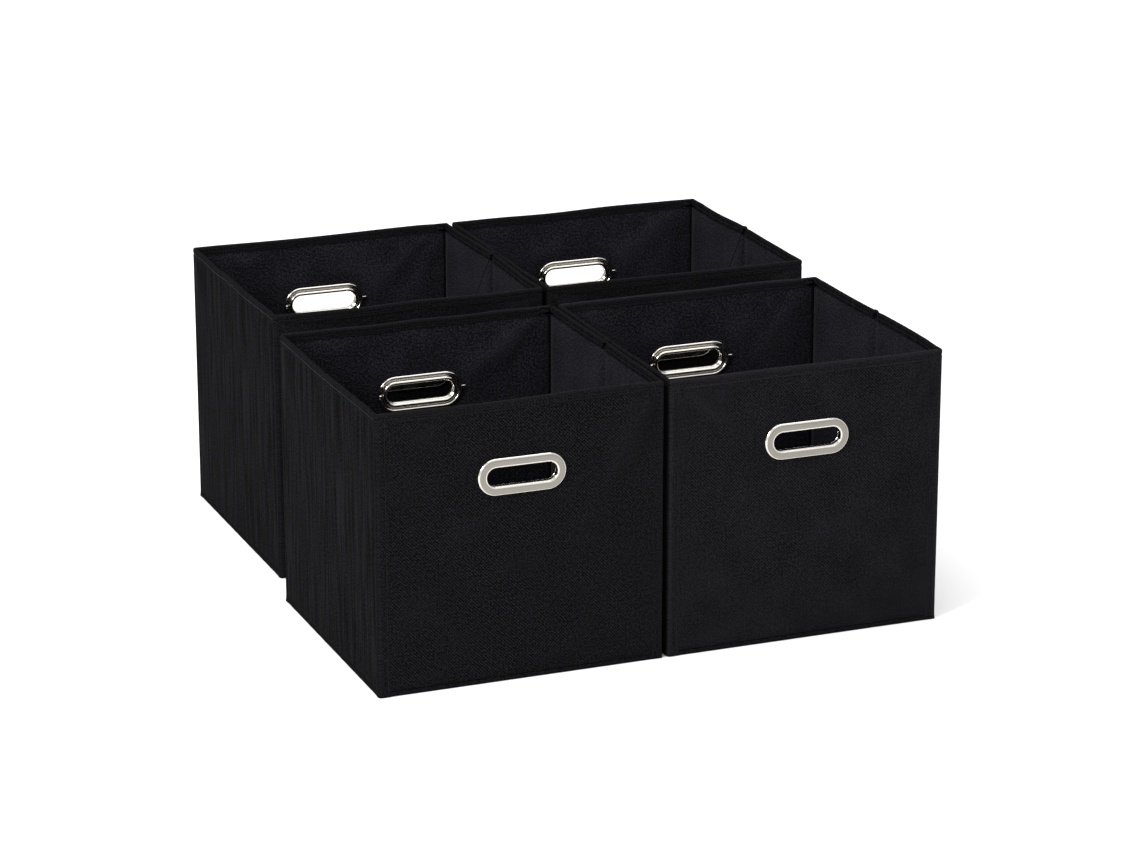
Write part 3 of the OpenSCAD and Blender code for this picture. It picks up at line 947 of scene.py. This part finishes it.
CORNERS = {"front_left": (1, 1, "front_wall", "left_fore"),
           "front_right": (-1, 1, "front_wall", "right_fore"),
           "back_left": (1, -1, "back_wall", "left_aft")}


def half_strip(piece, drop_along, place):
    """Takes one of a corner piece's two straight ends away and leaves its turn and the other end."""
    bm = bmesh.new()
    bm.from_mesh(piece.data)
    back = place.inverted()
    gone = {v for v in bm.verts if (back @ v.co)[0 if drop_along else 1] > 0.3 * MM}
    faces = [f for f in bm.faces if all(v in gone for v in f.verts)]
    bmesh.ops.delete(bm, geom=faces, context="FACES")
    bm.to_mesh(piece.data)
    bm.free()
    return piece


def build_cube(cube):
    for wall in WALLS:
        body = f"{cube}_{wall}_wall"
        outer, inner, tape = skin(cube, wall, False), skin(cube, wall, True), rim_tape(cube, wall)
        for piece in (outer, inner, tape):
            if wall in ("front", "back"):
                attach(piece, body)
            else:
                bend_over_crease(piece, cube, wall)
        if wall in ("front", "back"):
            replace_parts(outer, f"{cube}_{wall}_cover")
            ring_outer(cube, wall)
            ring_inner(cube, wall)
            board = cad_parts[f"{cube}_{wall}_board"]
            board.data.materials.clear()
            board.data.materials.append(CHIPBOARD)
        else:
            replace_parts(outer, f"{cube}_{wall}_fore_panel", f"{cube}_{wall}_aft_panel")
            for half in ("fore", "aft"):
                side_board(cube, wall, half)
    for corner, (mx, my, wall_body, side_body) in CORNERS.items():
        place = corner_place(cube, mx, my)
        for piece in (corner_tape(cube, corner, mx, my), corner_wrap(cube, corner, mx, my)):
            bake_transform(piece, f"{cube}_{wall_body}", f"{cube}_{side_body}",
                     start=place @ Vector((0, -WALL, 0)), end=place @ Vector((-WALL, 0, 0)))
    place = corner_place(cube, -1, -1)
    for make in (corner_tape, corner_wrap):
        for keep_side, body in ((False, f"{cube}_right_aft"), (True, f"{cube}_back_wall")):
            strip = make(cube, "back_right_" + ("over" if keep_side else "under"), -1, -1)
            piece = half_strip(strip, not keep_side, place)
            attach(piece, body)
    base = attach(bottom(cube), f"{cube}_front_wall")
    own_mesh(base)
    lift_floor(cube)
    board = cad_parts[f"{cube}_floor_board"]
    board.data.materials.clear()
    board.data.materials.append(CHIPBOARD)


for cube in CUBES:
    build_cube(cube)

# %% [markdown]
# ## Studio
# Black felt needs a bright, even room: a wide soft light overhead, a stronger one from the left, a
# faint one from the front, and a white surround. The pale floor is lit until it reads as white paper.

# %% Studio
def soft_light(name, at, aim, size, power):
    light = bpy.data.objects.new(name, bpy.data.lights.new(name, "AREA"))
    light.data.shape, light.data.size, light.data.energy = "SQUARE", size, power
    light.location = at
    light.rotation_euler = (Vector(aim) - Vector(at)).to_track_quat("-Z", "Y").to_euler()
    bpy.context.scene.collection.objects.link(light)
    return light


soft_light("Overhead", (0.1, 0.0, 2.6), (0, 0, 0), 2.4, 40)
soft_light("Left", (-2.9, -1.5, 2.1), (0, 0, 0.15), 1.2, 130)
soft_light("Front", (1.2, -3.4, 1.7), (0, 0, 0.15), 1.6, 6)
world = bpy.data.worlds.new("Studio")
bpy.context.scene.world = world
world.use_nodes = True
world.node_tree.nodes["Background"].inputs["Color"].default_value = (1, 1, 1, 1)
world.node_tree.nodes["Background"].inputs["Strength"].default_value = 1.0
bpy.context.scene.view_settings.view_transform = "Standard"

PALE, tree, shader = new_material("pale_floor", Base_Color=(0.9, 0.9, 0.9, 1), Roughness=0.9,
                                  Specular_IOR_Level=0.1)
bm = bmesh.new()
bmesh.ops.create_grid(bm, x_segments=1, y_segments=1, size=14)
mesh = bpy.data.meshes.new("Floor")
bm.to_mesh(mesh)
bm.free()
mesh.materials.append(PALE)
floor = bpy.data.objects.new("Floor", mesh)
bpy.context.scene.collection.objects.link(floor)
floor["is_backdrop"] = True

# %% [markdown]
# ## Measure the size
# The cloth may stand a few millimetres proud of the imported model, but no more. Here the box
# round everything that is shown is measured.

# %% Size and finish
low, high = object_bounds()
